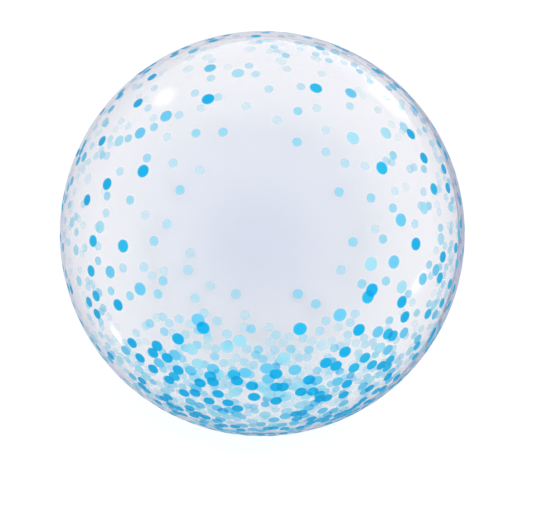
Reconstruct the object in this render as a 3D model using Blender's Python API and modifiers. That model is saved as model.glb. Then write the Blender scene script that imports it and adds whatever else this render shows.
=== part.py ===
"""Party balloon: a clear stretch-film ball that lies on its back panel, with its valve tail folded down.

+Z is up and is the axis of the two round panels: the front panel faces up, the back panel rests on the floor.
-Y is the balloon's bottom, where the valve tail leaves the weld. The origin is the middle of the resting spot.
"""

import math

import bmesh
import bpy

# Driving dimensions, in metres
BALLOON_DIAMETER = 0.610      # the filled ball, across its film
RESTING_SPOT_RADIUS = 0.040   # the flat that the back panel takes where it lies
SEAM_WIDTH = 0.0015           # how far the weld stands out of the ball
SEAM_THICKNESS = 0.0006       # the two panels pressed together in the weld
SEAM_ROOT_HEIGHT = 0.0016     # over this height the two panels draw together into the weld
TAIL_WIDTH = 0.030
TAIL_NECK_WIDTH = 0.022       # where the tail comes out of the weld
TAIL_FLARE_LENGTH = 0.014     # over this length the neck widens to the tail
TAIL_LENGTH = 0.062           # of the stretch that hangs straight down
TAIL_THICKNESS = 0.001
TAIL_BEND_RADIUS = 0.002      # of the fold at the weld, to the middle of the film
TAIL_CORNER_RADIUS = 0.006
PIECE_CLEARANCE = 0.0003      # between the weld's edge and the tail

# How finely the round shapes are faceted
SEGMENTS_AROUND = 72
RINGS_PER_PANEL = 17
TAIL_BEND_ROWS = 4
TAIL_FLARE_ROWS = 4
TAIL_CORNER_ROWS = 4
MERGE_DISTANCE = 0.00001

# Sizes that follow from them
BALL_RADIUS = BALLOON_DIAMETER / 2
SEAM_HEIGHT = math.sqrt(BALL_RADIUS ** 2 - RESTING_SPOT_RADIUS ** 2)
SEAM_EDGE_RADIUS = BALL_RADIUS + SEAM_WIDTH
TAIL_START_Y = -(SEAM_EDGE_RADIUS + PIECE_CLEARANCE)


def clear_scene():
    for old in list(bpy.data.objects):
        bpy.data.objects.remove(old, do_unlink=True)


def make_material(name, colour, roughness, alpha=1.0):
    material = bpy.data.materials.new(name)
    material.use_nodes = True
    shader = material.node_tree.nodes["Principled BSDF"]
    shader.inputs["Base Color"].default_value = (*colour, 1.0)
    shader.inputs["Roughness"].default_value = roughness
    shader.inputs["Metallic"].default_value = 0.0
    shader.inputs["Alpha"].default_value = alpha
    return material


def film_arc(start, end, steps):
    """Points on the ball's outline, from one latitude to another, both included."""
    latitudes = [start + (end - start) * i / steps for i in range(steps + 1)]
    return [(BALL_RADIUS * math.cos(a), SEAM_HEIGHT + BALL_RADIUS * math.sin(a)) for a in latitudes]


def envelope_profile():
    """Half outline as (radius, height): top, front panel, weld, back panel, edge and middle of the resting spot."""
    weld_root = math.asin(SEAM_ROOT_HEIGHT / 2 / BALL_RADIUS)
    spot_edge = -math.acos(RESTING_SPOT_RADIUS / BALL_RADIUS)
    front = film_arc(math.pi / 2, weld_root, RINGS_PER_PANEL)
    front[0] = (0.0, front[0][1])
    weld = [(SEAM_EDGE_RADIUS, SEAM_HEIGHT + side * SEAM_THICKNESS / 2) for side in (1, -1)]
    back = film_arc(-weld_root, spot_edge, RINGS_PER_PANEL)
    back[-1] = (RESTING_SPOT_RADIUS, 0.0)
    return front + weld + back + [(0.0, 0.0)]


def make_envelope(collection, material):
    """The two welded panels, turned about the ball's axis."""
    outline = envelope_profile()
    mesh = bpy.data.meshes.new("envelope")
    edges = [(i, i + 1) for i in range(len(outline) - 1)]
    mesh.from_pydata([(radius, 0.0, height) for radius, height in outline], edges, [])
    mesh.materials.append(material)
    envelope = bpy.data.objects.new("envelope", mesh)
    collection.objects.link(envelope)
    turn = envelope.modifiers.new("turn", "SCREW")
    turn.axis = "Z"
    turn.angle = math.tau
    turn.steps = SEGMENTS_AROUND
    turn.render_steps = SEGMENTS_AROUND
    turn.use_merge_vertices = True
    turn.merge_threshold = MERGE_DISTANCE
    turn.use_smooth_shade = True
    return envelope


def tail_half_width(down):
    """Half the tail's width at a distance below its fold: neck, flare, straight sides, rounded corners."""
    share = min(down / TAIL_FLARE_LENGTH, 1.0)
    flare = share * share * (3 - 2 * share)
    half = (TAIL_NECK_WIDTH + (TAIL_WIDTH - TAIL_NECK_WIDTH) * flare) / 2
    into_corner = down - (TAIL_LENGTH - TAIL_CORNER_RADIUS)
    if into_corner > 0:
        half -= TAIL_CORNER_RADIUS - math.sqrt(max(TAIL_CORNER_RADIUS ** 2 - into_corner ** 2, 0.0))
    return half


def tail_rows():
    """Rows across the tail as (half width, y, z), from the weld over the fold to its lower end."""
    rows = []
    for i in range(TAIL_BEND_ROWS + 1):
        turned = math.pi / 2 * i / TAIL_BEND_ROWS
        rows.append((TAIL_NECK_WIDTH / 2,
                     TAIL_START_Y - TAIL_BEND_RADIUS * math.sin(turned),
                     SEAM_HEIGHT - TAIL_BEND_RADIUS * (1 - math.cos(turned))))
    flare = [TAIL_FLARE_LENGTH * i / TAIL_FLARE_ROWS for i in range(1, TAIL_FLARE_ROWS + 1)]
    corner_angles = [math.pi / 2 * i / TAIL_CORNER_ROWS for i in range(TAIL_CORNER_ROWS + 1)]
    corner = [TAIL_LENGTH - TAIL_CORNER_RADIUS * (1 - math.sin(a)) for a in corner_angles]
    for down in flare + corner:
        rows.append((tail_half_width(down),
                     TAIL_START_Y - TAIL_BEND_RADIUS,
                     SEAM_HEIGHT - TAIL_BEND_RADIUS - down))
    return rows


def make_valve_tail(collection, material):
    """The valve's two-ply sleeve: a strip along the rows, given its thickness on both sides of its middle."""
    strip = bmesh.new()
    pairs = [(strip.verts.new((-half, y, z)), strip.verts.new((half, y, z))) for half, y, z in tail_rows()]
    for upper, lower in zip(pairs, pairs[1:]):
        strip.faces.new((upper[0], lower[0], lower[1], upper[1]))
    mesh = bpy.data.meshes.new("valve_tail")
    strip.to_mesh(mesh)
    strip.free()
    mesh.materials.append(material)
    tail = bpy.data.objects.new("valve_tail", mesh)
    collection.objects.link(tail)
    wall = tail.modifiers.new("two plies", "SOLIDIFY")
    wall.thickness = TAIL_THICKNESS
    wall.offset = 0.0
    wall.use_even_offset = True
    return tail


def main():
    clear_scene()
    collection = bpy.data.collections.new("party_balloon")
    bpy.context.scene.collection.children.link(collection)
    clear_film = make_material("clear_film", (0.80, 0.85, 0.95), 0.05, alpha=0.35)
    tail_film = make_material("tail_film", (0.86, 0.89, 0.95), 0.20, alpha=0.60)
    make_envelope(collection, clear_film)
    make_valve_tail(collection, tail_film)


main()
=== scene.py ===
"""Party balloon, dressed: a clear film ball with printed confetti dots, its rim weld and its valve tail.

The balloon lies on its back panel on a pale floor, and the camera looks down on its front panel.
"""

import math

import bpy
import numpy as np
from mathutils import Matrix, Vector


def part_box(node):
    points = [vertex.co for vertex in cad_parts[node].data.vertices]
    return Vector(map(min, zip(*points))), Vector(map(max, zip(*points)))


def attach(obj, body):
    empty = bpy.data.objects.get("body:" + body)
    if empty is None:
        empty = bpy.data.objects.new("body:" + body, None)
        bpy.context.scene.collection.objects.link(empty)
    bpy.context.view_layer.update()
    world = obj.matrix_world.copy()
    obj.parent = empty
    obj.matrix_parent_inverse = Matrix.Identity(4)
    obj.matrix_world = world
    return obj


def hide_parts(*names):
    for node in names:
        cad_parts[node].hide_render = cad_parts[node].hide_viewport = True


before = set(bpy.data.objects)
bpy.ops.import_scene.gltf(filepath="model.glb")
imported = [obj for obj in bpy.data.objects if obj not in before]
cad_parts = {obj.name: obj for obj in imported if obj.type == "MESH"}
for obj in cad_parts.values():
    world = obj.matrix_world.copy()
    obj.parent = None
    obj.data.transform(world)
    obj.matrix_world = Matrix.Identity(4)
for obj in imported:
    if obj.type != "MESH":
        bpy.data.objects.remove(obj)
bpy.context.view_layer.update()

# Sizes read from the frame, in metres
SEAM_WIDTH = 0.0015           # how far the weld stands out of the ball, as in the part
ENVELOPE_LOW, ENVELOPE_HIGH = (np.array(corner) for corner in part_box("envelope"))
TAIL_LOW, TAIL_HIGH = (np.array(corner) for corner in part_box("valve_tail"))
BALL_RADIUS = float(ENVELOPE_HIGH[0] - ENVELOPE_LOW[0]) / 2 - SEAM_WIDTH
SEAM_HEIGHT = float(ENVELOPE_HIGH[2]) - BALL_RADIUS
BALL_MIDDLE = np.array((0.0, 0.0, SEAM_HEIGHT))

# The photograph: its frame and the ball's outline in it, in pixels
PHOTO_WIDTH = 533
PHOTO_HEIGHT = 516
OUTLINE_MIDDLE = (262.3, 233.5)
OUTLINE_RADIUS = 202.5

# The camera stands over the front panel, five radii from the ball's middle, and leans a little off its axis
CAMERA_DISTANCE = 5 * BALL_RADIUS
CAMERA_LEAN = math.radians(3.0)
CAMERA_LEAN_TOWARDS = math.radians(215.0)
SENSOR_WIDTH = 36.0
CAMERA_AXIS = np.array((math.sin(CAMERA_LEAN) * math.cos(CAMERA_LEAN_TOWARDS),
                        math.sin(CAMERA_LEAN) * math.sin(CAMERA_LEAN_TOWARDS),
                        math.cos(CAMERA_LEAN)))
CAMERA_PLACE = BALL_MIDDLE + CAMERA_DISTANCE * CAMERA_AXIS
CAMERA_RIGHT = np.cross((0.0, 1.0, 0.0), CAMERA_AXIS)
CAMERA_RIGHT /= np.linalg.norm(CAMERA_RIGHT)
CAMERA_UP = np.cross(CAMERA_AXIS, CAMERA_RIGHT)
FOCAL_PIXELS = OUTLINE_RADIUS * math.sqrt(CAMERA_DISTANCE ** 2 / BALL_RADIUS ** 2 - 1)


# Camera

def placed(right, up, back, place):
    """The matrix that puts a camera or light at a place, with its own axes along right, up and back."""
    matrix = np.eye(4)
    matrix[:3] = np.stack((right, up, back, place), axis=1)
    return Matrix(matrix.tolist())


def make_camera():
    """Looks along the camera axis at the ball's middle; the shift puts the ball where the photo has it."""
    data = bpy.data.cameras.new("camera")
    data.sensor_width = SENSOR_WIDTH
    data.lens = FOCAL_PIXELS * SENSOR_WIDTH / PHOTO_WIDTH
    data.shift_x = (PHOTO_WIDTH / 2 - OUTLINE_MIDDLE[0]) / PHOTO_WIDTH
    data.shift_y = (OUTLINE_MIDDLE[1] - PHOTO_HEIGHT / 2) / PHOTO_WIDTH
    camera = bpy.data.objects.new("camera", data)
    bpy.context.scene.collection.objects.link(camera)
    camera.matrix_world = placed(CAMERA_RIGHT, CAMERA_UP, CAMERA_AXIS, CAMERA_PLACE)
    bpy.context.scene.camera = camera


def sight_lines(pixels):
    """The camera's rays through these pixels, as unit directions."""
    pixels = np.asarray(pixels, float)
    across = (pixels[..., 0] - OUTLINE_MIDDLE[0]) / FOCAL_PIXELS
    up = (OUTLINE_MIDDLE[1] - pixels[..., 1]) / FOCAL_PIXELS
    ray = across[..., None] * CAMERA_RIGHT + up[..., None] * CAMERA_UP - CAMERA_AXIS
    return ray / np.linalg.norm(ray, axis=-1, keepdims=True)


def ball_places(pixels, far=False):
    """Where the rays through these pixels meet the ball's front or far side, as directions from its middle.

    Those are the two roots of |camera + t * ray - middle| = radius.
    """
    ray = sight_lines(pixels)
    start = CAMERA_DISTANCE * CAMERA_AXIS
    half = ray @ start
    root = np.sqrt(np.maximum(half ** 2 - CAMERA_DISTANCE ** 2 + BALL_RADIUS ** 2, 0.0))
    t = -half + (root if far else -root)
    return (start + t[..., None] * ray) / BALL_RADIUS


def mirrored_rays(pixels):
    """What the front film mirrors at these pixels: where each ray leaves the film, and in which direction.

    A ray is mirrored to ray - 2 (ray . out) out, where out is the place's direction from the ball's middle.
    """
    out = ball_places(pixels)
    ray = sight_lines(pixels)
    turned = ray - 2 * np.sum(ray * out, axis=-1, keepdims=True) * out
    return BALL_MIDDLE + BALL_RADIUS * out, turned


# Mesh helpers

def mesh_piece(name, points, faces, material):
    """A piece from an array of points and arrays of faces, smooth shaded, riding on the one body."""
    mesh = bpy.data.meshes.new(name)
    mesh.from_pydata(points.tolist(), [], faces)
    mesh.polygons.foreach_set("use_smooth", np.ones(len(mesh.polygons), bool))
    mesh.materials.append(material)
    piece = bpy.data.objects.new(name, mesh)
    bpy.context.scene.collection.objects.link(piece)
    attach(piece, "root")
    return piece


def read_all(items, name, width=1, kind=float):
    """One property of all vertices, corners or faces of a mesh, as an array."""
    values = np.empty(len(items) * width, kind)
    items.foreach_get(name, values)
    return values.reshape(-1, width) if width > 1 else values


def write_all(mesh, name, kind, domain, values):
    """Gives a mesh a new attribute with these values."""
    key = "vector" if kind == "FLOAT_VECTOR" else "value"
    mesh.attributes.new(name, kind, domain).data.foreach_set(key, values.ravel())


def grid_faces(rows, columns, closed):
    """Quads over a grid of rows by columns, whose last column joins the first if it is closed."""
    first = np.arange(columns if closed else columns - 1)
    row, column = np.meshgrid(np.arange(rows - 1), first, indexing="ij")
    after = (column + 1) % columns
    quads = (row * columns + column, (row + 1) * columns + column,
             (row + 1) * columns + after, row * columns + after)
    return np.stack(quads, axis=-1).reshape(-1, 4)


def fan_faces(ring, tip, flipped):
    """Triangles from a ring of points to one tip."""
    after = np.roll(ring, -1)
    first, second = (after, ring) if flipped else (ring, after)
    return np.stack((first, second, np.full(len(ring), tip)), axis=-1)


# Film ball

FILM_RINGS = 201              # odd, so that one ring lies on the weld and parts the panels
FILM_COLUMNS = 320
RING_CROWDING = 0.5           # spacing of the rings at the weld, as a share of the mean
COLUMN_CROWDING = 0.35        # spacing of the columns at the valve tail
PUCKER_HEIGHT = 0.0016
PUCKER_REACH = 0.032
PUCKER_COUNT = 13             # waves in one turn round the valve's neck
PUCKER_RISE = 0.010
PUCKER_TOP = 0.0004           # no pucker stands further out of the ball
NECK_HALF_WIDTH = 0.011
NOT_ZERO = 1e-6               # keeps a division from failing where its lower part is zero


def crowded(share, crowding):
    """A cubic through (-1, -1), (0, 0) and (1, 1) whose slope in the middle is the crowding."""
    return (1 - crowding) * share ** 3 + crowding * share


def film_points(latitude, longitude):
    """Points on the film: a sphere about the ball's middle, clamped at the floor, with puckers at the valve.

    The puckers fan out from the valve's neck. Their height is a cosine of the angle round it, rises over the
    first centimetre and dies away as exp(-distance / reach).
    """
    out = np.stack((np.cos(latitude) * np.cos(longitude),
                    np.cos(latitude) * np.sin(longitude),
                    np.sin(latitude)), axis=-1)
    aside = np.angle(np.exp(1j * (longitude + math.pi / 2))) * BALL_RADIUS
    above = latitude * BALL_RADIUS
    past_neck = np.sign(aside) * np.maximum(np.abs(aside) - NECK_HALF_WIDTH / 2, 0.0)
    distance = np.hypot(past_neck, above)
    rise = np.clip(distance / PUCKER_RISE, 0.0, 1.0)
    pucker = PUCKER_HEIGHT * rise * np.exp(-distance / PUCKER_REACH)
    pucker = pucker * np.cos(PUCKER_COUNT * np.arctan2(above, past_neck + NOT_ZERO))
    points = BALL_MIDDLE + (BALL_RADIUS + np.minimum(pucker, PUCKER_TOP))[..., None] * out
    points[..., 2] = np.maximum(points[..., 2], 0.0)
    return points


def make_film_ball(material):
    """Both panels as one closed skin: rings of latitude, columns of longitude, and a tip at each pole."""
    rings = crowded(np.linspace(1, -1, FILM_RINGS + 2)[1:-1], RING_CROWDING) * math.pi / 2
    columns = crowded(np.linspace(-1, 1, FILM_COLUMNS + 1)[:-1], COLUMN_CROWDING) * math.pi - math.pi / 2
    latitude, longitude = np.meshgrid(rings, columns, indexing="ij")
    skin = film_points(latitude, longitude).reshape(-1, 3)
    tips = np.array(((0.0, 0.0, SEAM_HEIGHT + BALL_RADIUS), (0.0, 0.0, 0.0)))
    points = np.concatenate((skin, tips))
    ring = np.arange(FILM_COLUMNS)
    faces = (grid_faces(FILM_RINGS, FILM_COLUMNS, True).tolist()
             + fan_faces(ring, len(skin), False).tolist()
             + fan_faces(ring + (FILM_RINGS - 1) * FILM_COLUMNS, len(skin) + 1, True).tolist())
    ball = mesh_piece("film_ball", points, faces, material)
    ball.visible_glossy = False   # the film's gloss doesn't show the film again
    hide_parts("envelope")
    return ball


# Printed dots

# All places on a flat panel, and all distances there, are in radii of the ball
DOT_RADIUS = 0.0091 / BALL_RADIUS
PANEL_EDGE = math.pi / 2      # a quarter of the way round the ball lies between a panel's middle and its edge
PRINT_LAYERS = 5              # most dots that can overlap on one face of the film
PRINT_SEED = 24
DOT_REACH = 1.05              # a face is given the dots up to this many of their radii from it
INKS = {                      # what each ink lets through, as linear red, green and blue
    "deep": (0.010, 0.48, 0.88),
    "bright": (0.025, 0.54, 0.90),
    "sky": (0.17, 0.65, 0.95),
    "light": (0.44, 0.82, 0.97),
    "pale": (0.80, 0.945, 1.0),
}
BACK_INKS = {
    "strong": (0.12, 0.62, 0.93),
    "clear": (0.37, 0.80, 0.97),
    "soft": (0.60, 0.885, 0.99),
    "faint": (0.755, 0.94, 0.99),
    "ghost": (0.87, 0.965, 0.99),
}
WASH_INK = (0.935, 0.975, 0.99)     # the palest inks run together into a wash in the back panel's foot
WASH_MIDDLE = (0.0, -PANEL_EDGE, -1.0)    # its place on the flat back panel
WASH_FADE = (0.60, 0.98)      # it is full out to the first distance, and gone from the second on
BAKE_RADIUS = 1 / (2 + math.sqrt(2))    # of two equal discs in a square's opposite corners
BAKE_FILL = 0.99              # the share of a disc that its panel fills
FRONT_APART = 0.034           # the least distance of two dots' middles on one panel
BACK_APART = 0.037

# Where the scattered dots thicken. A DEPTH is measured down from a panel's middle and an OUT away from it,
# both as the start and length of a ramp. A SPREAD is the start, slope and least of what is left towards the
# sides, and SIDES are the shares at the left and the right.
FRONT_FOOT_DEPTH = (0.56, 0.26)
FRONT_FOOT_CUP = 0.15         # the front foot's upper edge rises with the square of the way to the side
FRONT_FOOT_SPREAD = (1.35, 1.1, 0.22)
FRONT_FOOT_SIDES = (0.65, 1.35)
FRONT_BRIM_OUT = (1.07, 0.14)
FRONT_BRIM_MOST = 0.70
FRONT_BRIM_MIDDLE = 0.12
FRONT_BRIM_SPREAD = (1.3, 1.3, 0.0)
FRONT_WELD_OUT = (1.12, 0.10)
FRONT_WELD_SIDES = (0.16, 0.30)
BACK_FOOT_DEPTH = (0.50, 0.45)
BACK_FOOT_MOST = 0.95
BACK_FOOT_SPREAD = (1.40, 0.8, 0.35)
BACK_WELD_OUT = (0.95, 0.40)
BACK_WELD_SIDES = (0.08, 0.12)
BACK_SEAM_OUT = (1.38, 0.06)
BACK_SEAM_SIDES = (0.06, 0.11)
FRONT_TRIES = 2600            # how many places are drawn for one fill
BACK_FOOT_TRIES = 4200
BACK_TRIES = 5200

# The dots that the photograph shows singly, in its pixels: on the front panel, and through it on the back
FRONT_DOTS = {
    "deep": [
        (208, 99), (138, 103), (152, 77), (102, 141), (143, 171), (107, 184), (87, 200), (118, 305),
        (97, 314), (203, 328), (178, 339), (157, 346), (132, 343), (140, 358), (411, 134), (424, 158),
        (444, 169), (448, 188), (416, 244), (443, 257), (372, 290), (402, 302), (405, 317), (359, 330),
        (153, 353), (167, 358), (178, 370), (200, 383), (213, 382), (237, 381), (326, 363), (336, 366),
        (345, 352), (276, 374), (309, 380), (153, 369), (169, 380), (168, 397), (184, 393), (195, 393),
        (218, 394), (209, 401), (228, 403), (252, 386), (254, 397), (276, 387), (283, 387), (276, 401),
        (301, 392), (320, 399), (327, 398), (347, 384), (302, 413), (198, 414), (460, 201), (352, 409),
        (345, 412), (338, 415), (357, 405), (363, 400)],
    "bright": [
        (93, 241), (123, 246), (91, 271), (96, 296), (316, 88), (382, 168), (434, 189), (368, 297),
        (428, 314), (442, 303), (300, 329), (388, 334), (365, 358), (354, 368), (372, 365), (390, 360),
        (417, 346), (430, 339), (393, 336), (450, 284), (89, 302), (256, 36), (174, 55), (147, 71),
        (121, 92), (78, 161), (380, 72), (439, 144), (456, 248), (461, 224), (440, 278), (454, 289),
        (449, 305)],
    "sky": [
        (210, 68), (166, 116), (140, 133), (110, 272), (140, 289), (198, 320), (351, 93), (401, 220),
        (394, 262), (340, 315), (378, 332), (423, 279), (436, 270), (393, 87), (159, 363), (213, 369),
        (245, 373), (295, 370), (404, 333), (391, 372), (320, 48), (193, 51), (111, 109), (84, 157),
        (415, 109), (459, 234), (457, 264), (63, 247), (66, 274)],
    "light": [
        (119, 141), (238, 73), (100, 227), (72, 222), (353, 138), (386, 133), (371, 264), (402, 287),
        (284, 358), (380, 348), (120, 360), (105, 122), (441, 239), (404, 127), (335, 52), (424, 208),
        (451, 207), (434, 305), (76, 250), (79, 281), (227, 347), (240, 341), (198, 364)],
    "pale": [
        (250, 49), (88, 179), (316, 58), (281, 61), (323, 345), (190, 58), (207, 57), (188, 69)],
}
BACK_DOTS = {
    "clear": [
        (154, 127), (196, 133), (223, 132), (147, 158), (180, 190), (130, 200), (107, 196), (154, 241),
        (297, 142), (339, 192), (371, 198), (393, 208), (353, 242), (383, 239), (298, 111), (424, 169),
        (451, 231), (163, 281), (158, 294), (130, 296), (111, 291), (386, 281), (362, 284), (298, 294),
        (251, 329), (256, 355), (263, 359), (291, 349), (316, 304), (309, 350), (197, 345), (185, 348)],
    "soft": [
        (211, 78), (154, 88), (148, 108), (179, 115), (218, 97), (195, 93), (173, 163), (107, 156),
        (96, 156), (167, 224), (106, 213), (269, 89), (326, 152), (345, 163), (386, 161), (350, 106),
        (415, 224), (410, 169), (445, 178), (144, 267), (123, 268), (188, 270), (195, 298), (236, 294),
        (341, 270), (436, 155), (446, 197), (445, 246), (450, 258), (439, 294), (80, 168), (78, 176),
        (83, 204), (98, 246), (88, 281), (88, 287), (217, 321), (227, 334), (247, 349), (276, 335),
        (275, 350), (303, 338), (320, 331), (299, 358), (204, 313), (179, 319), (208, 338), (163, 317),
        (355, 314), (364, 338), (340, 346), (326, 321)],
    "faint": [
        (200, 170), (145, 215), (167, 137), (201, 108), (246, 106), (277, 120), (326, 130), (317, 108),
        (365, 166), (395, 191), (375, 229), (210, 286), (190, 253), (152, 276), (164, 271), (128, 126),
        (439, 212), (83, 225), (82, 254), (269, 327), (270, 342), (289, 337), (312, 341), (207, 346),
        (190, 324), (245, 315), (332, 341), (356, 343), (231, 363)],
}


def flat_places(directions):
    """Where points of the ball lay on their flat panels before these were blown up, in radii of the ball.

    A panel stretches evenly from its middle to the weld, so the way out from its middle is the angle between
    a point's direction and the ball's axis. Round the ball it stretches less and less towards the weld, so a
    round dot becomes an oval there. The third number is 1 on the front panel and -1 on the back.
    """
    level = np.hypot(directions[..., 0], directions[..., 1])
    stretch = np.arctan2(level, np.abs(directions[..., 2])) / np.maximum(level, NOT_ZERO)
    side = np.where(directions[..., 2] < 0, -1.0, 1.0)
    return np.stack((directions[..., 0] * stretch, directions[..., 1] * stretch, side), axis=-1)


def scattered(rng, tries, density, apart, taken):
    """Places on a flat panel, x and y: drawn evenly, kept as the density asks, and none closer than apart."""
    turn = rng.uniform(-math.pi, math.pi, tries)
    out = PANEL_EDGE * np.sqrt(rng.uniform(0.0, 1.0, tries))
    drawn = np.stack((out * np.cos(turn), out * np.sin(turn)), axis=-1)
    drawn = drawn[rng.uniform(0.0, 1.0, tries) < density(drawn)]
    kept = taken
    for place in drawn:
        if np.min(np.linalg.norm(kept - place, axis=1)) > apart:
            kept = np.concatenate((kept, place[None]))
    return kept[len(taken):]


def thickening(distance, ramp, most=1.0):
    """None where the ramp starts, and evenly more over its length, up to the most."""
    start, length = ramp
    return np.clip((distance - start) / length, 0.0, most)


def narrowing(place, spread, middle=0.0):
    """All in a foot's middle, and evenly less to its sides: start - slope * distance, down to the least."""
    start, slope, least = spread
    return np.clip(start - slope * np.abs(place[:, 0] - middle), least, 1.0)


def left_to_right(place, shares):
    """A share that changes evenly from the left of the panel to its right."""
    left, right = shares
    return left + (right - left) * (place[:, 0] / PANEL_EDGE + 1) / 2


def out_from_middle(place):
    return np.hypot(place[:, 0], place[:, 1])


def front_brim(place):
    """At the foot of the front panel, strong inks crowd towards the weld, a little right of the middle."""
    brim = thickening(out_from_middle(place), FRONT_BRIM_OUT, FRONT_BRIM_MOST) * (place[:, 1] < 0)
    return brim * narrowing(place, FRONT_BRIM_SPREAD, FRONT_BRIM_MIDDLE)


def front_foot(place):
    """The front panel's foot is thick with dots and reaches higher at the sides."""
    depth = -place[:, 1] + FRONT_FOOT_CUP * place[:, 0] ** 2
    foot = thickening(depth, FRONT_FOOT_DEPTH) * narrowing(place, FRONT_FOOT_SPREAD)
    return foot * left_to_right(place, FRONT_FOOT_SIDES)


def front_weld(place):
    """Some dots line the front panel's weld all round, more of them on the right."""
    return thickening(out_from_middle(place), FRONT_WELD_OUT) * left_to_right(place, FRONT_WELD_SIDES)


def back_foot(place):
    """The back panel's foot is nearly covered."""
    return thickening(-place[:, 1], BACK_FOOT_DEPTH, BACK_FOOT_MOST) * narrowing(place, BACK_FOOT_SPREAD)


def back_weld(place):
    """The rest of the back panel is sparse but for its edge."""
    return thickening(out_from_middle(place), BACK_WELD_OUT) * left_to_right(place, BACK_WELD_SIDES)


def back_seam(place):
    """The back panel's inks are stronger close to the weld."""
    return thickening(out_from_middle(place), BACK_SEAM_OUT) * left_to_right(place, BACK_SEAM_SIDES)


# How the other dots are scattered: how thickly, how many are drawn, and the share of each ink
FRONT_FILLS = ((front_brim, FRONT_TRIES, (0.42, 0.30, 0.18, 0.10, 0.0)),
               (front_foot, FRONT_TRIES, (0.14, 0.16, 0.28, 0.24, 0.18)),
               (front_weld, FRONT_TRIES, (0.34, 0.22, 0.22, 0.14, 0.08)))
BACK_FILLS = ((back_foot, BACK_FOOT_TRIES, (0.05, 0.32, 0.36, 0.21, 0.06)),
              (back_weld, BACK_TRIES, (0.0, 0.22, 0.30, 0.30, 0.18)),
              (back_seam, BACK_TRIES, (0.6, 0.3, 0.1, 0.0, 0.0)))


def panel_dots(rng, seen, far, shades, apart, fills):
    """One panel's dots and their inks: those that the photograph shows, and scattered ones round them."""
    places = flat_places(ball_places([pixel for pixels in seen.values() for pixel in pixels], far))
    inks = np.array([shades[shade] for shade, pixels in seen.items() for _ in pixels])
    for density, tries, shares in fills:
        more = scattered(rng, tries, density, apart, places[:, :2])
        more_inks = np.array(list(shades.values()))[rng.choice(len(shades), len(more), p=shares)]
        side = np.full((len(more), 1), places[0, 2])
        places = np.concatenate((places, np.concatenate((more, side), axis=1)))
        inks = np.concatenate((inks, more_inks))
    return places, inks


def printed_dots():
    """All dots as places on the flat panels, and what the ink of each lets through."""
    rng = np.random.default_rng(PRINT_SEED)
    front = panel_dots(rng, FRONT_DOTS, False, INKS, FRONT_APART, FRONT_FILLS)
    back = panel_dots(rng, BACK_DOTS, True, BACK_INKS, BACK_APART, BACK_FILLS)
    return np.concatenate((front[0], back[0])), np.concatenate((front[1], back[1]))


def print_dots(ball):
    """Gives each face of the film the middles and inks of the dots that reach it, one attribute pair a layer.

    A dot reaches a face if it is closer to the face's middle than its own radius and the furthest corner are
    together.
    """
    mesh = ball.data
    total = read_all(mesh.polygons, "loop_total", kind=np.int32)
    first = read_all(mesh.polygons, "loop_start", kind=np.int32)
    used = read_all(mesh.loops, "vertex_index", kind=np.int32)
    middle = flat_places(read_all(mesh.polygons, "center", 3) - BALL_MIDDLE)
    corners = flat_places(read_all(mesh.vertices, "co", 3) - BALL_MIDDLE)
    spread = np.linalg.norm(corners[used, :2] - np.repeat(middle[:, :2], total, axis=0), axis=1)
    reach = np.maximum.reduceat(spread, first) + DOT_RADIUS * DOT_REACH
    dots = np.zeros((PRINT_LAYERS, len(middle), 3), np.float32)
    inks = np.ones((PRINT_LAYERS, len(middle), 3), np.float32)
    layer = np.zeros(len(middle), int)
    for place, ink in zip(*printed_dots()):
        near = np.flatnonzero(np.linalg.norm(middle - place, axis=1) < reach)
        near = near[layer[near] < PRINT_LAYERS]
        dots[layer[near], near] = place
        inks[layer[near], near] = ink
        layer[near] += 1
    for i in range(PRINT_LAYERS):
        write_all(mesh, f"dot_{i}", "FLOAT_VECTOR", "FACE", dots[i])
        write_all(mesh, f"ink_{i}", "FLOAT_VECTOR", "FACE", inks[i])


def add_bake_map(ball):
    """Lays both flat panels side by side on the diagonal of a UV square, as two discs that just touch."""
    mesh = ball.data
    middle = read_all(mesh.polygons, "center", 3)
    total = read_all(mesh.polygons, "loop_total", kind=np.int32)
    used = read_all(mesh.loops, "vertex_index", kind=np.int32)
    side = np.repeat(np.sign(middle[:, 2:] - SEAM_HEIGHT), total, axis=0)
    flat = flat_places(read_all(mesh.vertices, "co", 3) - BALL_MIDDLE)[used, :2] / PANEL_EDGE
    flat[:, :1] *= side
    middle_of_disc = 0.5 + side * (0.5 - BAKE_RADIUS)
    places = middle_of_disc + flat * BAKE_RADIUS * BAKE_FILL
    mesh.uv_layers.new(name="OFBake").data.foreach_set("uv", places.ravel())


# Rim weld

WELD_COLUMNS = 1440
WELD_SECTION_POINTS = 16
WELD_THICKNESS = 0.0005
WELD_DEPTH = 0.0008           # how far the weld's root reaches inside the film
WELD_FLATNESS = 8             # the higher, the flatter the fin's sides and the tighter its round edges
WELD_CRIMPS = 420
WELD_CRIMP_HEIGHT = 0.00012


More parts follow.
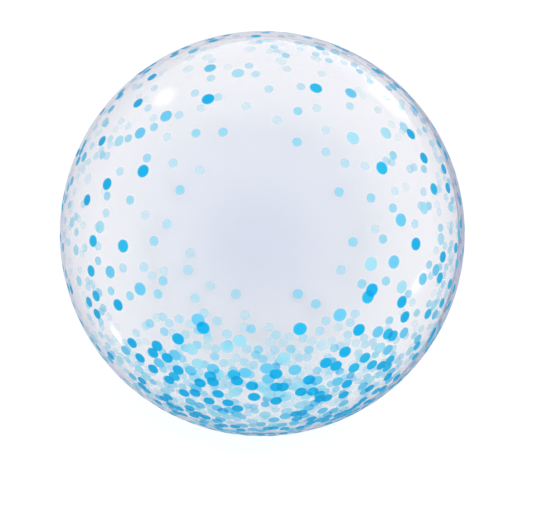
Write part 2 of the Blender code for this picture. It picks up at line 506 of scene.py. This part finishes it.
def make_rim_weld(material):
    """A flat fin with a round edge, carried round the ball's equator.

    The section runs round the fin: its height is the thickness times sqrt(1 - outward^flatness), so it is
    flat on both sides and round at its edges. Its outer edge waves a little, as pressed film does.
    """
    turn = np.linspace(0, math.tau, WELD_COLUMNS, endpoint=False)[:, None]
    round_fin = np.linspace(0, math.tau, WELD_SECTION_POINTS, endpoint=False)[None, :]
    outward = np.cos(round_fin)
    half_width = (SEAM_WIDTH + WELD_DEPTH) / 2
    radius = BALL_RADIUS + SEAM_WIDTH - half_width + half_width * outward
    half_height = np.sqrt(np.maximum(1 - outward ** WELD_FLATNESS, 0.0)) * WELD_THICKNESS / 2
    wave = WELD_CRIMP_HEIGHT * np.sin(WELD_CRIMPS * turn) * (1 + outward) / 2
    height = SEAM_HEIGHT + np.sign(np.sin(round_fin)) * half_height + wave
    points = np.stack((radius * np.cos(turn), radius * np.sin(turn), height), axis=-1)
    rows, columns = points.shape[:2]
    faces = grid_faces(rows + 1, columns, True) % (rows * columns)
    mesh_piece("rim_weld", points.reshape(-1, 3), faces.tolist(), material)


# Valve tail

TAIL_ROWS = 140
TAIL_COLUMNS = 128            # points round the flattened sleeve
TAIL_BEND = 0.002
TAIL_FLARE = 0.014
TAIL_CORNER = 0.006
TAIL_CORNER_SHARE = 0.999     # of a corner's height that is rounded, so that the last row keeps some width
TAIL_EDGE_CROWDING = 1.3      # over 1, the points across crowd towards the sleeve's edges
TAIL_PLY_FLATNESS = 6
TAIL_PLY_GAP = 0.0009
TAIL_GAP_FLATNESS = 4
TAIL_GAP_RISE = 0.25          # the gap has opened this far down, as a share of the hanging length
TAIL_EDGE_THICKNESS = 0.0003
TAIL_LEAN = 0.004             # of the tail's end in to the ball
TAIL_LEAN_POWER = 2.5
TAIL_LIFT = 0.001             # by the lean, the end hangs this much higher
TAIL_PLEAT_HEIGHT = 0.0007
TAIL_PLEAT_WIDTH = 0.0070
TAIL_PLEAT_REACH = 0.016
TAIL_SWAY = 0.0006
TAIL_SWAY_WIDTH = 0.030
TAIL_SWAY_SHIFT = 2.0         # of the sway's wave, in radians
TAIL_SEAL_SHARE = 0.80        # the plies are welded from here outwards, as a share of the half width
TAIL_SEAL_FADE = 0.04
TAIL_CHANNEL_HALF_WIDTH = 0.0056
TAIL_CHANNEL_LINE = 0.0005
TAIL_CHANNEL_LENGTH = 0.72    # of the tail's hanging length


def tail_half_width(down, hang):
    """Half the sleeve's width: it widens from the neck along a smooth step, and its low corners are round."""
    half_width = float(TAIL_HIGH[0] - TAIL_LOW[0]) / 2
    flare = np.clip(down / TAIL_FLARE, 0, 1)
    wide = NECK_HALF_WIDTH + (half_width - NECK_HALF_WIDTH) * flare * flare * (3 - 2 * flare)
    into_corner = np.clip(down - (hang - TAIL_CORNER), 0, TAIL_CORNER * TAIL_CORNER_SHARE)
    return wide - TAIL_CORNER + np.sqrt(TAIL_CORNER ** 2 - into_corner ** 2)


def tail_seals(across, wide, low):
    """1 on the welds along both edges and on the channel's two lines between them, which end further up."""
    edge = np.clip((np.abs(across) / wide - TAIL_SEAL_SHARE) / TAIL_SEAL_FADE, 0, 1)
    line = np.exp(-((np.abs(across) - TAIL_CHANNEL_HALF_WIDTH) / TAIL_CHANNEL_LINE) ** 2)
    return np.maximum(edge, line * (low < TAIL_CHANNEL_LENGTH))


def make_tail_sleeve(material):
    """The valve's outer end: two plies welded along both edges and folded down at the rim.

    A flattened loop is carried down a path. The path leaves the weld level, turns down on a small radius and
    hangs, and its lower part leans in to the ball as a power of the way down. Across the sleeve, the plies
    part by sqrt(1 - share^flatness) between the welded edges, and pleats run down from the neck, a cosine
    across that dies away as exp(-way / reach). The attribute sealed is 1 where the plies are welded.
    """
    neck_y = float(TAIL_HIGH[1])
    hang = float(SEAM_HEIGHT - TAIL_BEND - TAIL_LOW[2])
    turn_length = TAIL_BEND * math.pi / 2
    way = np.linspace(0, turn_length + hang, TAIL_ROWS)[:, None]
    turned = np.clip(way / TAIL_BEND, 0, math.pi / 2)
    down = np.maximum(way - turn_length, 0.0)
    low = np.clip(down / hang, 0, 1)
    path_y = neck_y - TAIL_BEND * np.sin(turned) + TAIL_LEAN * low ** TAIL_LEAN_POWER
    path_z = SEAM_HEIGHT - TAIL_BEND * (1 - np.cos(turned)) - down + TAIL_LIFT * low ** 2
    wide = tail_half_width(down, hang)
    loop = np.linspace(0, math.tau, TAIL_COLUMNS, endpoint=False)[None, :]
    share = np.cos(loop)
    across = wide * np.sign(share) * (1 - (1 - np.abs(share)) ** TAIL_EDGE_CROWDING)
    ply = np.sign(np.sin(loop)) * np.sqrt(1 - np.abs(share) ** TAIL_PLY_FLATNESS)
    opened = (1 - share ** TAIL_GAP_FLATNESS) * np.minimum(low / TAIL_GAP_RISE, 1)
    gap = TAIL_EDGE_THICKNESS + (TAIL_PLY_GAP - TAIL_EDGE_THICKNESS) * opened
    pleat = TAIL_PLEAT_HEIGHT * np.exp(-down / TAIL_PLEAT_REACH)
    pleat = pleat * np.cos(across * math.tau / TAIL_PLEAT_WIDTH)
    sway = TAIL_SWAY * np.sin(across * math.tau / TAIL_SWAY_WIDTH + TAIL_SWAY_SHIFT) * low
    off = ply * gap / 2 + pleat * np.minimum(turned, 1) + sway
    points = np.stack((across, path_y - off * np.sin(turned), path_z + off * np.cos(turned)), axis=-1)
    rows, columns = points.shape[:2]
    skin = points.reshape(-1, 3)
    tips = np.stack((points[0].mean(axis=0), points[-1].mean(axis=0)))
    ring = np.arange(columns)
    faces = (grid_faces(rows, columns, True).tolist()
             + fan_faces(ring, len(skin), False).tolist()
             + fan_faces(ring + (rows - 1) * columns, len(skin) + 1, True).tolist())
    tail = mesh_piece("tail_sleeve", np.concatenate((skin, tips)), faces, material)
    sealed = tail_seals(across, wide, low)
    write_all(tail.data, "sealed", "FLOAT", "POINT", np.concatenate((sealed.ravel(), np.ones(len(tips)))))
    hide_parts("valve_tail")


# Materials

class Wire:
    """A socket of a material's nodes. Arithmetic on it adds Math nodes."""

    def __init__(self, nodes, socket):
        self.nodes = nodes
        self.socket = socket

    def _math(self, operation, first, second):
        return self.nodes.add("ShaderNodeMath", {"operation": operation}, {0: first, 1: second})

    def __add__(self, other):
        return self._math("ADD", self, other)

    def __sub__(self, other):
        return self._math("SUBTRACT", self, other)

    def __mul__(self, other):
        return self._math("MULTIPLY", self, other)

    def __truediv__(self, other):
        return self._math("DIVIDE", self, other)

    def __pow__(self, other):
        return self._math("POWER", self, other)

    def __rsub__(self, other):
        return self._math("SUBTRACT", other, self)

    def __rtruediv__(self, other):
        return self._math("DIVIDE", other, self)

    def __rpow__(self, other):
        return self._math("POWER", other, self)

    __radd__ = __add__
    __rmul__ = __mul__


class Nodes:
    """A new material's node tree. add() makes any node and gives its first output."""

    def __init__(self, name):
        self.material = bpy.data.materials.new(name)
        self.material.use_nodes = True
        self.tree = self.material.node_tree
        self.tree.nodes.clear()

    def add(self, kind, settings=None, inputs=None, output=0):
        node = self.tree.nodes.new(kind)
        for name, value in (settings or {}).items():
            setattr(node, name, value)
        for key, value in (inputs or {}).items():
            if isinstance(value, Wire):
                self.tree.links.new(value.socket, node.inputs[key])
            else:
                node.inputs[key].default_value = value
        return Wire(self, node.outputs[output])

    def finish(self, surface):
        output = self.tree.nodes.new("ShaderNodeOutputMaterial")
        self.tree.links.new(surface.socket, output.inputs["Surface"])
        return self.material


def opaque(red, green, blue):
    return (red, green, blue, 1.0)


FILM_HAZE = 0.04              # how much one film veils what is behind it, seen square on
FILM_HAZE_COLOUR = (0.46, 0.46, 0.52)
FILM_HAZE_ROUGHNESS = 0.6
FILM_TINT = (0.985, 0.981, 0.984)
FILM_REFLECTANCE = 0.015      # of each of the film's two faces, seen square on
FILM_GLOSS_ROUGHNESS = 0.03
LEAST_COSINE = 0.02           # seen more edge on than this, the film gets no hazier
INK_EDGE = 0.0040             # over this width a dot's edge fades, in radii
INK_ROUGHNESS = 0.5
INK_LIGHTNESS = 0.77
BACK_INK_PAINTED_LIGHTNESS = 0.93     # painted light: the back panel's inks get less light, so their colour is made lighter to make up for it
WELD_INK_PAINTED_SHADE = 0.25          # painted shade: the front panel's inks are darker by this share at the weld, where the ball's side turns from the light above
INK_MATTNESS = 0.82           # the share of the film's gloss that full ink takes away
INK_DEPTH = (0.004, 0.40, 0.78)     # no heap of dots gets darker than this
LEAST_COVER = 0.01            # an ink's colour is worked out as if it covered at least this much


def film_reflection(facing):
    """How much both faces of a thin film reflect: 2 r / (1 + r), where r = r0 + (1 - r0) * facing^5."""
    face = facing ** 5 * (1 - FILM_REFLECTANCE) + FILM_REFLECTANCE
    return 2 * face / (1 + face)


def flat_place_wire(nodes):
    """The shaded point's place on its flat panel, worked out as flat_places does.

    The other two outputs are its panel's side and how far out from the panel's middle it lies.
    """
    place = nodes.add("ShaderNodeTexCoord", output=3)
    from_middle = nodes.add("ShaderNodeVectorMath", {"operation": "SUBTRACT"},
                            {0: place, 1: tuple(BALL_MIDDLE)})
    direction = nodes.add("ShaderNodeVectorMath", {"operation": "NORMALIZE"}, {0: from_middle})
    x, y, z = (nodes.add("ShaderNodeSeparateXYZ", {}, {0: direction}, output=i) for i in range(3))
    level = (x * x + y * y) ** 0.5
    height = nodes.add("ShaderNodeMath", {"operation": "ABSOLUTE"}, {0: z})
    angle = nodes.add("ShaderNodeMath", {"operation": "ARCTAN2"}, {0: level, 1: height})
    stretch = angle / nodes.add("ShaderNodeMath", {"operation": "MAXIMUM"}, {0: level, 1: NOT_ZERO})
    side = nodes.add("ShaderNodeMath", {"operation": "SIGN"}, {0: z})
    return nodes.add("ShaderNodeCombineXYZ", {}, {0: x * stretch, 1: y * stretch, 2: side}), side, angle


def tinted(nodes, share, ink):
    """What is let through: all where the share is 0, and what the ink lets through where it is 1."""
    return nodes.add("ShaderNodeMix", {"data_type": "VECTOR"},
                     {0: share, 4: (1.0, 1.0, 1.0), 5: ink}, output=1)


def print_clearness(nodes, flat):
    """What the print lets through of each colour: the wash and the dots, multiplied layer by layer."""
    away = nodes.add("ShaderNodeVectorMath", {"operation": "DISTANCE"}, {0: flat, 1: WASH_MIDDLE}, output=1)
    full, gone = WASH_FADE
    washed = nodes.add("ShaderNodeMapRange", {"interpolation_type": "SMOOTHSTEP"},
                       {0: away, 1: full, 2: gone, 3: 1.0, 4: 0.0})
    clear = tinted(nodes, washed, WASH_INK)
    for i in range(PRINT_LAYERS):
        dot = nodes.add("ShaderNodeAttribute", {"attribute_name": f"dot_{i}"}, output=1)
        ink = nodes.add("ShaderNodeAttribute", {"attribute_name": f"ink_{i}"}, output=1)
        off = nodes.add("ShaderNodeVectorMath", {"operation": "DISTANCE"}, {0: flat, 1: dot}, output=1)
        inside = nodes.add("ShaderNodeMapRange", {}, {0: off, 1: DOT_RADIUS + INK_EDGE / 2,
                                                      2: DOT_RADIUS - INK_EDGE / 2, 3: 0.0, 4: 1.0})
        layer = tinted(nodes, inside, ink)
        clear = nodes.add("ShaderNodeVectorMath", {"operation": "MULTIPLY"}, {0: clear, 1: layer})
    return nodes.add("ShaderNodeVectorMath", {"operation": "MAXIMUM"}, {0: clear, 1: INK_DEPTH})


def matt(nodes, colour, roughness, **more):
    """A body colour without any gloss of its own."""
    return nodes.add("ShaderNodeBsdfPrincipled", {}, {"Base Color": colour, "Roughness": roughness,
                                                      "Specular IOR Level": 0.0, **more})


def gloss(nodes, roughness, **more):
    return nodes.add("ShaderNodeBsdfGlossy", {}, {"Color": opaque(1, 1, 1), "Roughness": roughness, **more})


def make_film_material():
    """Clear film, a little hazier where it is seen edge on, with the dots' inks on it and a gloss over all.

    The least clear colour, red, gives how much the print lets through, red^2, and what is left of each colour
    above that is the print's own colour. The haze is 1 - exp(-haze / cosine).
    """
    nodes = Nodes("clear_film")
    flat, side, out = flat_place_wire(nodes)
    clear = print_clearness(nodes, flat)
    red, green, blue = (nodes.add("ShaderNodeSeparateXYZ", {}, {0: clear}, output=i) for i in range(3))
    seen_through = red * red
    cover = 1 - seen_through
    some_cover = nodes.add("ShaderNodeMath", {"operation": "MAXIMUM"}, {0: cover, 1: LEAST_COVER})
    front_share = side * 0.5 + 0.5
    # painted shade: the front panel's inks darken towards the weld
    front_lightness_with_painted_shade = INK_LIGHTNESS - (out / PANEL_EDGE) ** 2 * (WELD_INK_PAINTED_SHADE * INK_LIGHTNESS)
    # painted light: the back panel's inks are made lighter, and the inks' colour carries this painted light
    # and shade
    lightness_with_painted_light = BACK_INK_PAINTED_LIGHTNESS + front_share * (front_lightness_with_painted_shade - BACK_INK_PAINTED_LIGHTNESS)
    lightness_with_painted_light = lightness_with_painted_light / some_cover
    ink_colour_with_painted_light = nodes.add("ShaderNodeCombineColor", {}, {0: (red - seen_through) * lightness_with_painted_light,
                                                          1: (green - seen_through) * lightness_with_painted_light,
                                                          2: (blue - seen_through) * lightness_with_painted_light})
    facing = nodes.add("ShaderNodeLayerWeight", {}, {"Blend": 0.5}, output=1)
    some_cosine = nodes.add("ShaderNodeMath", {"operation": "MAXIMUM"}, {0: 1 - facing, 1: LEAST_COSINE})
    veil = 1 - math.exp(-FILM_HAZE) ** (1 / some_cosine)
    haze = matt(nodes, opaque(*FILM_HAZE_COLOUR), FILM_HAZE_ROUGHNESS)
    ink = matt(nodes, ink_colour_with_painted_light, INK_ROUGHNESS)
    clear_through = nodes.add("ShaderNodeBsdfTransparent", {}, {"Color": opaque(*FILM_TINT)})
    film = nodes.add("ShaderNodeMixShader", {}, {0: veil, 1: clear_through, 2: haze})
    printed = nodes.add("ShaderNodeMixShader", {}, {0: cover, 1: film, 2: ink})
    shine = gloss(nodes, FILM_GLOSS_ROUGHNESS)
    reflected = film_reflection(facing) * (1 - cover * INK_MATTNESS)
    return nodes.finish(nodes.add("ShaderNodeMixShader", {}, {0: reflected, 1: printed, 2: shine}))


WELD_HAZE = 0.50
WELD_COLOUR = (0.56, 0.60, 0.72)
WELD_GLOSS_ROUGHNESS = 0.15
WELD_SPECKLE = 0.20           # how far the speckle moves the haze, from least to most
PLY_HAZE = 0.30
PLY_COLOUR = (0.66, 0.70, 0.80)
PLY_GLOSS_ROUGHNESS = 0.12
PLY_SPECKLE = 0.16
MILKY_ROUGHNESS = 0.45
SPECKLE_SCALE = 260.0
SPECKLE_DETAIL = 3.0
SEAL_RIB_PITCH = 0.0016
SEAL_RIB_HEIGHT = 0.00015
SEAL_RIB_HAZE = 0.06


def milky_film(nodes, haze, colour, gloss_roughness, **bent):
    """Film with an even veil: haze is how much the veil hides, and a soft gloss lies over it."""
    body = matt(nodes, opaque(*colour), MILKY_ROUGHNESS, **bent)
    clear_through = nodes.add("ShaderNodeBsdfTransparent")
    film = nodes.add("ShaderNodeMixShader", {}, {0: haze, 1: clear_through, 2: body})
    facing = nodes.add("ShaderNodeLayerWeight", {}, {"Blend": 0.5}, output=1)
    shine = gloss(nodes, gloss_roughness, **bent)
    return nodes.finish(nodes.add("ShaderNodeMixShader", {}, {0: film_reflection(facing), 1: film, 2: shine}))


def speckled(nodes, haze, speckle):
    """A haze with a fine speckle round it."""
    place = nodes.add("ShaderNodeTexCoord", output=3)
    noise = nodes.add("ShaderNodeTexNoise", {}, {"Vector": place, "Scale": SPECKLE_SCALE,
                                                 "Detail": SPECKLE_DETAIL})
    return noise * speckle + (haze - speckle / 2)


def make_weld_material():
    """Two films that the weld has made milky, with a fine speckle."""
    nodes = Nodes("rim_weld")
    return milky_film(nodes, speckled(nodes, WELD_HAZE, WELD_SPECKLE), WELD_COLOUR, WELD_GLOSS_ROUGHNESS)


def make_tail_material():
    """Two plies of film: milky and finely ribbed where they are sealed, clearer between."""
    nodes = Nodes("tail_film")
    sealed = nodes.add("ShaderNodeAttribute", {"attribute_name": "sealed"}, output=2)
    place = nodes.add("ShaderNodeTexCoord", output=3)
    height = nodes.add("ShaderNodeSeparateXYZ", {}, {0: place}, output=2)
    ribs = nodes.add("ShaderNodeMath", {"operation": "SINE"}, {0: height * (math.tau / SEAL_RIB_PITCH)})
    bump = nodes.add("ShaderNodeBump", {}, {"Height": ribs * sealed * SEAL_RIB_HEIGHT, "Distance": 1.0})
    haze = sealed * (ribs * SEAL_RIB_HAZE + (WELD_HAZE - PLY_HAZE)) + speckled(nodes, PLY_HAZE, PLY_SPECKLE)
    return milky_film(nodes, haze, PLY_COLOUR, PLY_GLOSS_ROUGHNESS, Normal=bump)


# Studio

FLOOR_HEIGHT = -0.0005        # a hair under the film, so that the two don't fight
SHEET_GAP = 0.0001            # between the sheets that lie on the floor
TENT_STOPS = ((0.0, (1.02, 1.02, 1.02)), (0.3, (0.98, 0.99, 1.01)), (0.7, (0.50, 0.54, 0.62)),
              (1.0, (0.28, 0.33, 0.44)))
OVERHEAD_SIZE = 3.6
OVERHEAD_HEIGHT = 3.6
OVERHEAD_POWER = 115.0
OVERHEAD_COLOUR = (1.0, 0.94, 0.86)
CARD_MIDDLE = (0.08, -0.17, 0.0)    # the near card's gray lightens from here outwards
CARD_DARK_RADIUS = 0.38
CARD_LIGHT_RADIUS = 0.95
CARD_DARK = (0.58, 0.61, 0.71)
CARD_LIGHT = (0.86, 0.85, 0.89)
CARD_REACH = 1.8
CARD_EDGE_LEFT = 0.97         # how far behind the ball's middle the card ends, at its left and right corner
CARD_EDGE_RIGHT = 0.51
FLAG_POINTS = 96
FLAG_MIDDLE = (0.22, -0.02)
FLAG_RADIUS = 0.46
FLAG_DARK_RADIUS = 0.62       # the flag is darkest this far from the ball's axis
FLAG_LIGHT_RADIUS = 0.38
FLAG_DARK = (0.30, 0.34, 0.48)
FLAG_LIGHT = (0.52, 0.55, 0.66)
PAINTED_SHADOW_MIDDLE = (0.01, 0.04, 0.0)    # painted contact shadow: the floor's colour is a little darker and bluer under the ball
PAINTED_SHADOW_CORE = 0.06             # out to here the painted shadow is darkest
PAINTED_SHADOW_RADIUS = 0.30           # and from here on it is plain
PAINTED_SHADOW_COLOUR = (0.82, 0.845, 0.905)
FLOOR_COLOUR = (0.92, 0.92, 0.92)
FLOOR_ROUGHNESS = 0.8
FLOOR_FADE = (1.1, 2.4)       # from the first to the second distance the floor fades into the white tent
GLOW_GRID = 25
GLOW_DISTANCE = 1.0
GLOW_BEAM = 0.03              # glows only shine squarely: so far from it, as 1 - cosine, they are out
FLOOR_GLOW_BEAM = 0.70
BEAM_CORE = 0.8               # up to this share of its beam a glow is full
WINDOW_BEAM = 1.1             # over 1, so that it shines every way
WINDOW_STRENGTH = 1.5
WINDOW_REACH = 2.4            # how far behind the ball the bright patch of floor ends
WINDOW_LEFT = -0.50
WINDOW_RIGHT = 0.85
WINDOW_FLATNESS = 4           # the higher, the closer to its sides it starts to fade
# The glows: the photograph's pixel, the half axes in pixels, the strength, and whether it lies on the floor
GLOWS = {
    "upper_left_glow": ((165, 98), (15, -11), (7, 9), 4.2, False),
    "upper_right_glow": ((386, 103), (29, 29), (18, -17), 5.0, True),
    "lower_left_glow": ((117, 337), (9, 18), (5, -3), 4.0, False),
    "lower_right_glow": ((418, 283), (11, -17), (6, 4), 4.5, False),
}


def stage_sheet(name, points, faces, material, reflected):
    """A sheet of the studio. A reflected one only shows in the film's gloss."""
    mesh = bpy.data.meshes.new(name)
    mesh.from_pydata(np.asarray(points).tolist(), [], faces)
    mesh.materials.append(material)
    sheet = bpy.data.objects.new(name, mesh)
    bpy.context.scene.collection.objects.link(sheet)
    if reflected:
        material.cycles.emission_sampling = "NONE"
        sheet.visible_camera = False
        sheet.visible_diffuse = False
        sheet.visible_transmission = False
        sheet.visible_shadow = False
    return sheet


def away_from(nodes, middle, near, far):
    """0 up to the near distance from a middle, 1 from the far one on, and smooth between."""
    place = nodes.add("ShaderNodeTexCoord", output=3)
    away = nodes.add("ShaderNodeVectorMath", {"operation": "DISTANCE"}, {0: place, 1: middle}, output=1)
    return nodes.add("ShaderNodeMapRange", {"interpolation_type": "SMOOTHSTEP"},
                     {0: away, 1: near, 2: far, 3: 0.0, 4: 1.0})


def make_floor():
    nodes = Nodes("floor")
    # painted contact shadow: the floor's colour is mixed darker and bluer under the ball
    light = away_from(nodes, PAINTED_SHADOW_MIDDLE, PAINTED_SHADOW_CORE, PAINTED_SHADOW_RADIUS)
    colour = nodes.add("ShaderNodeMix", {"data_type": "RGBA"},
                       {0: light, 6: opaque(*PAINTED_SHADOW_COLOUR), 7: opaque(*FLOOR_COLOUR)}, output=2)
    plain = matt(nodes, colour, FLOOR_ROUGHNESS)
    gone = away_from(nodes, (0.0, 0.0, 0.0), *FLOOR_FADE)
    through = nodes.add("ShaderNodeBsdfTransparent")
    material = nodes.finish(nodes.add("ShaderNodeMixShader", {}, {0: gone, 1: plain, 2: through}))
    reach = FLOOR_FADE[1]
    corners = [(-reach, -reach, FLOOR_HEIGHT), (reach, -reach, FLOOR_HEIGHT),
               (reach, reach, FLOOR_HEIGHT), (-reach, reach, FLOOR_HEIGHT)]
    stage_sheet("floor", corners, [(0, 1, 2, 3)], material, reflected=False)


def gray_glow(name, middle, near, far, near_colour, far_colour):
    """A material that shines in a gray that changes from one distance from a middle to another."""
    nodes = Nodes(name)
    away = away_from(nodes, middle, near, far)
    colour = nodes.add("ShaderNodeMix", {"data_type": "RGBA"},
                       {0: away, 6: opaque(*near_colour), 7: opaque(*far_colour)}, output=2)
    return nodes.finish(nodes.add("ShaderNodeEmission", {}, {"Color": colour, "Strength": 1.0}))


def make_near_card():
    """A gray card on the floor that only the film's gloss sees, as glass is lit to give it an edge.

    Its gray lightens from the ball outwards. The card ends at a straight edge behind the ball, where the
    film's reflection turns white again.
    """
    material = gray_glow("near_card", CARD_MIDDLE, CARD_DARK_RADIUS, CARD_LIGHT_RADIUS, CARD_DARK, CARD_LIGHT)
    height = FLOOR_HEIGHT + 2 * SHEET_GAP
    corners = [(-CARD_REACH, -CARD_REACH, height), (CARD_REACH, -CARD_REACH, height),
               (CARD_REACH, CARD_EDGE_RIGHT, height), (-CARD_REACH, CARD_EDGE_LEFT, height)]
    stage_sheet("near_card", corners, [(0, 1, 2, 3)], material, reflected=True)


def make_flag():
    """A dark round flag on the near card, set off to the right: the film's edge is darkest there."""
    turn = np.linspace(0, math.tau, FLAG_POINTS, endpoint=False)
    points = np.stack((FLAG_MIDDLE[0] + FLAG_RADIUS * np.cos(turn),
                       FLAG_MIDDLE[1] + FLAG_RADIUS * np.sin(turn),
                       np.full(FLAG_POINTS, FLOOR_HEIGHT + 3 * SHEET_GAP)), axis=-1)
    material = gray_glow("flag", (0.0, 0.0, 0.0), FLAG_LIGHT_RADIUS, FLAG_DARK_RADIUS, FLAG_LIGHT, FLAG_DARK)
    stage_sheet("flag", points, [list(range(FLAG_POINTS))], material, reflected=True)


def glow_sheet(name, points, share, strength, beam):
    """A square grid of points as a sheet of light that only the film's gloss sees, with its share at each.

    It fades out for a ray that meets it more askew than the beam says, so that the back film, which looks at
    it from another side, doesn't mirror it a second time.
    """
    nodes = Nodes(name)
    light = nodes.add("ShaderNodeEmission", {}, {"Color": opaque(1, 1, 1), "Strength": strength})
    through = nodes.add("ShaderNodeBsdfTransparent")
    bright = nodes.add("ShaderNodeAttribute", {"attribute_name": "bright"}, output=2)
    askew = nodes.add("ShaderNodeLayerWeight", {}, {"Blend": 0.5}, output=1)
    in_beam = nodes.add("ShaderNodeMapRange", {}, {0: askew, 1: beam, 2: beam * BEAM_CORE, 3: 0.0, 4: 1.0})
    material = nodes.finish(nodes.add("ShaderNodeMixShader", {}, {0: bright * in_beam, 1: through, 2: light}))
    faces = grid_faces(GLOW_GRID, GLOW_GRID, False).tolist()
    sheet = stage_sheet(name, points.reshape(-1, 3), faces, material, reflected=True)
    write_all(sheet.data, "bright", "FLOAT", "POINT", share)


def square_grid():
    share = np.linspace(-1, 1, GLOW_GRID)
    return np.meshgrid(share, share, indexing="ij")


def make_glow(name, pixel, along, across, strength, lies):
    """A soft-edged glow where the front film mirrors it at a pixel.

    The sheet is a grid over the pixels middle + u * along + v * across. Each is carried out along its
    mirrored ray as far as the floor, or to an even distance from the camera, which sets the sheet square to
    its rays. Its light is (1 - u^2 - v^2)^2 of the full strength.
    """
    u, v = square_grid()
    pixels = np.array(pixel) + u[..., None] * np.array(along, float) + v[..., None] * np.array(across, float)
    start, ray = mirrored_rays(pixels)
    if lies:
        distance = (FLOOR_HEIGHT + SHEET_GAP - start[..., 2:]) / ray[..., 2:]
    else:
        travelled = np.linalg.norm(start - CAMERA_PLACE, axis=-1, keepdims=True)
        distance = GLOW_DISTANCE - (travelled - travelled.mean())
    soft = np.clip(1 - u ** 2 - v ** 2, 0, 1) ** 2
    glow_sheet(name, start + distance * ray, soft, strength, FLOOR_GLOW_BEAM if lies else GLOW_BEAM)


def make_window():
    """The bright floor behind the near card, as under a window: (1 - u^flatness) (1 - v) / 2 of its light."""
    u, v = square_grid()
    across = (WINDOW_LEFT + WINDOW_RIGHT) / 2 + u * (WINDOW_RIGHT - WINDOW_LEFT) / 2
    behind = CARD_EDGE_RIGHT + (v + 1) / 2 * (WINDOW_REACH - CARD_EDGE_RIGHT)
    points = np.stack((across, behind, np.full(across.shape, FLOOR_HEIGHT + SHEET_GAP)), axis=-1)
    share = (1 - u ** WINDOW_FLATNESS) * (1 - v) / 2
    glow_sheet("window", points, share, WINDOW_STRENGTH, WINDOW_BEAM)


def make_world():
    """A light tent: white at the horizon, a dimmer, bluer zenith."""
    world = bpy.data.worlds.new("light_tent")
    bpy.context.scene.world = world
    world.use_nodes = True
    tree = world.node_tree
    tree.nodes.clear()
    place = tree.nodes.new("ShaderNodeTexCoord")
    split = tree.nodes.new("ShaderNodeSeparateXYZ")
    ramp = tree.nodes.new("ShaderNodeValToRGB")
    background = tree.nodes.new("ShaderNodeBackground")
    output = tree.nodes.new("ShaderNodeOutputWorld")
    for height, _ in TENT_STOPS[1:-1]:
        ramp.color_ramp.elements.new(height)
    for element, (height, colour) in zip(ramp.color_ramp.elements, TENT_STOPS):
        element.position = height
        element.color = opaque(*colour)
    tree.links.new(place.outputs["Generated"], split.inputs[0])
    tree.links.new(split.outputs["Z"], ramp.inputs[0])
    tree.links.new(ramp.outputs[0], background.inputs["Color"])
    tree.links.new(background.outputs[0], output.inputs["Surface"])


def make_overhead():
    """A wide soft light straight above. It lights the floor and the inks, and no gloss shows it."""
    data = bpy.data.lights.new("overhead", "AREA")
    data.shape = "SQUARE"
    data.size = OVERHEAD_SIZE
    data.energy = OVERHEAD_POWER
    data.color = OVERHEAD_COLOUR
    light = bpy.data.objects.new("overhead", data)
    bpy.context.scene.collection.objects.link(light)
    light.location = (0, 0, OVERHEAD_HEIGHT)
    light.visible_camera = False
    light.visible_glossy = False


def make_studio():
    make_floor()
    make_near_card()
    make_flag()
    make_window()
    make_world()
    make_overhead()
    for name, glow in GLOWS.items():
        make_glow(name, *glow)


def main():
    make_camera()
    film = make_film_material()
    ball = make_film_ball(film)
    print_dots(ball)
    add_bake_map(ball)
    make_rim_weld(make_weld_material())
    make_tail_sleeve(make_tail_material())
    make_studio()
    bpy.context.scene.view_settings.view_transform = "Standard"


main()
